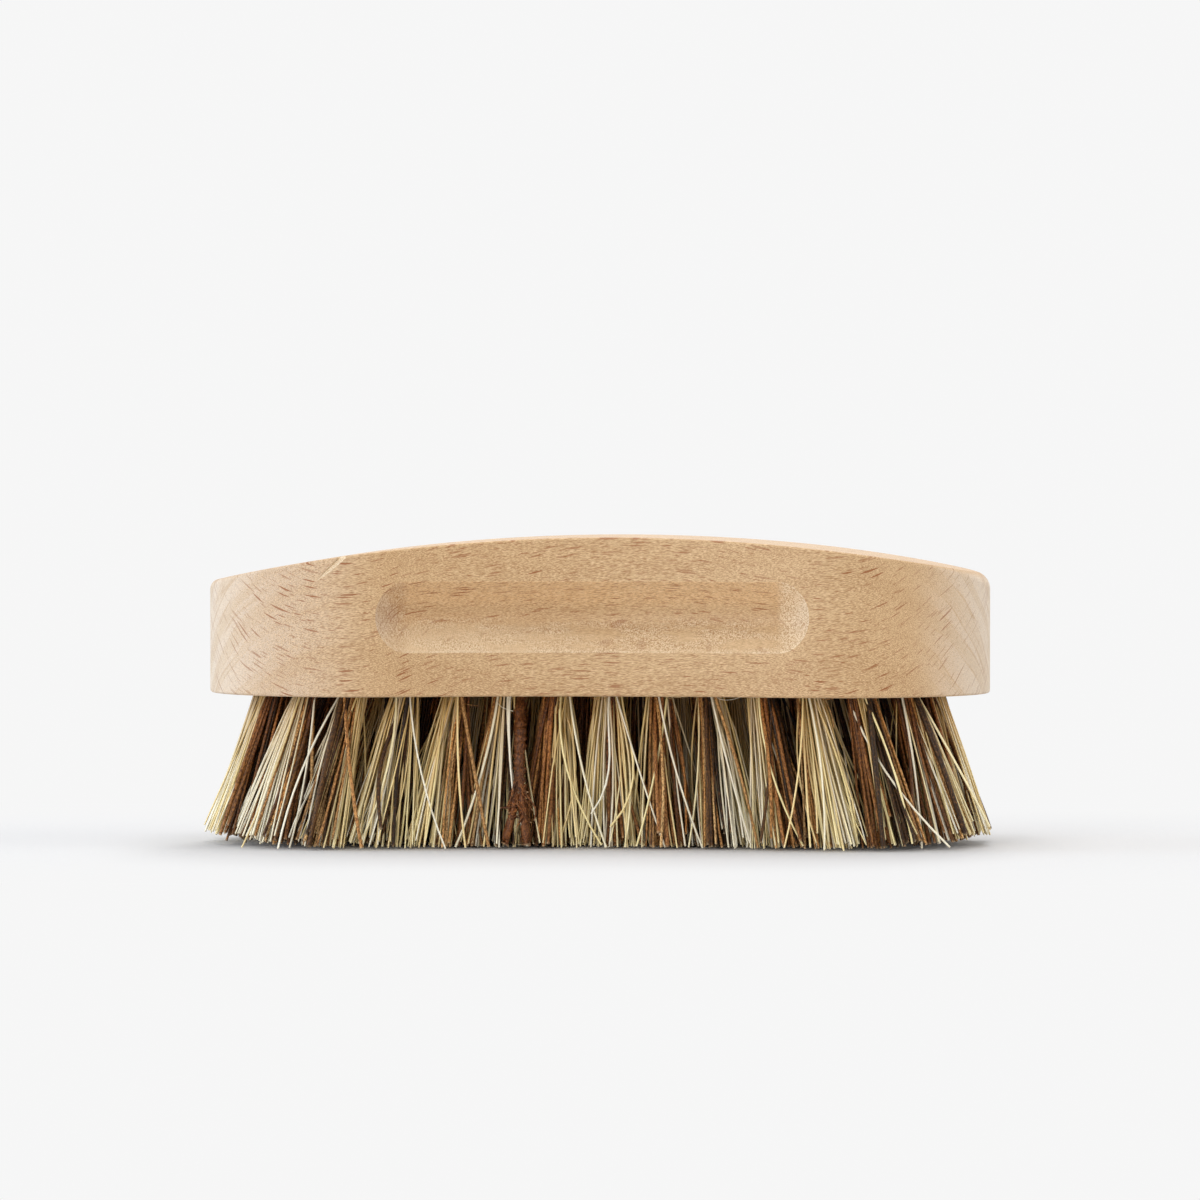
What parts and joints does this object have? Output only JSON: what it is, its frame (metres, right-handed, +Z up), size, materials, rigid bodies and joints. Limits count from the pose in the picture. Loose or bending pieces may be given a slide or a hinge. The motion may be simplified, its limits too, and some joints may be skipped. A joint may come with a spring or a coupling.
{
  "type": "scrub brush",
  "caption": "Waisted beech hand scrub brush with an arched back, a finger groove along each side and fanned tufts of mixed plant fibre.",
  "frame": {"origin": "under the middle of the brush, at the level of the cut bristle tips that it stands on", "axes": "+X along the block, +Y across it towards its back side, +Z up from the tips to the arched back"},
  "size_m": [0.1537, 0.06, 0.059],
  "materials": {
    "beech": "bare sanded beech, matte",
    "pale_fibre": "pale straw-coloured plant fibre, faint sheen",
    "brown_fibre": "tan to dark brown plant fibre, matte",
    "anchor_wire": "flat drawn steel wire"
  },
  "bodies": {
    "root": {"block": "beech", "outer_tuft_01": "pale_fibre", "outer_tuft_02": "pale_fibre", "outer_tuft_03": "brown_fibre", "outer_tuft_04": "pale_fibre", "outer_tuft_05": "pale_fibre", "outer_tuft_06": "brown_fibre", "outer_tuft_07": "pale_fibre", "outer_tuft_08": "pale_fibre", "outer_tuft_09": "brown_fibre", "outer_tuft_10": "pale_fibre", "outer_tuft_11": "pale_fibre", "outer_tuft_12": "brown_fibre", "outer_tuft_13": "pale_fibre", "outer_tuft_14": "pale_fibre", "outer_tuft_15": "brown_fibre", "outer_tuft_16": "pale_fibre", "outer_tuft_17": "pale_fibre", "outer_tuft_18": "brown_fibre", "outer_tuft_19": "pale_fibre", "outer_tuft_20": "pale_fibre", "outer_tuft_21": "brown_fibre", "outer_tuft_22": "pale_fibre", "outer_tuft_23": "pale_fibre", "outer_tuft_24": "brown_fibre", "outer_tuft_25": "pale_fibre", "outer_tuft_26": "pale_fibre", "outer_tuft_27": "brown_fibre", "outer_tuft_28": "pale_fibre", "outer_tuft_29": "pale_fibre", "outer_tuft_30": "brown_fibre", "outer_tuft_31": "pale_fibre", "inner_tuft_01": "pale_fibre", "inner_tuft_02": "brown_fibre", "inner_tuft_03": "pale_fibre", "inner_tuft_04": "pale_fibre", "inner_tuft_05": "brown_fibre", "inner_tuft_06": "pale_fibre", "inner_tuft_07": "pale_fibre", "inner_tuft_08": "brown_fibre", "inner_tuft_09": "pale_fibre", "inner_tuft_10": "pale_fibre", "inner_tuft_11": "brown_fibre", "inner_tuft_12": "pale_fibre", "inner_tuft_13": "pale_fibre", "inner_tuft_14": "brown_fibre", "inner_tuft_15": "pale_fibre", "inner_tuft_16": "pale_fibre", "inner_tuft_17": "brown_fibre", "inner_tuft_18": "pale_fibre", "inner_tuft_19": "pale_fibre", "inner_tuft_20": "brown_fibre", "inner_tuft_21": "pale_fibre", "inner_tuft_22": "pale_fibre", "inner_tuft_23": "brown_fibre", "inner_tuft_24": "pale_fibre", "inner_tuft_25": "pale_fibre", "lobe_tuft_left": "brown_fibre", "lobe_tuft_right": "pale_fibre"}
  },
  "joints": []
}
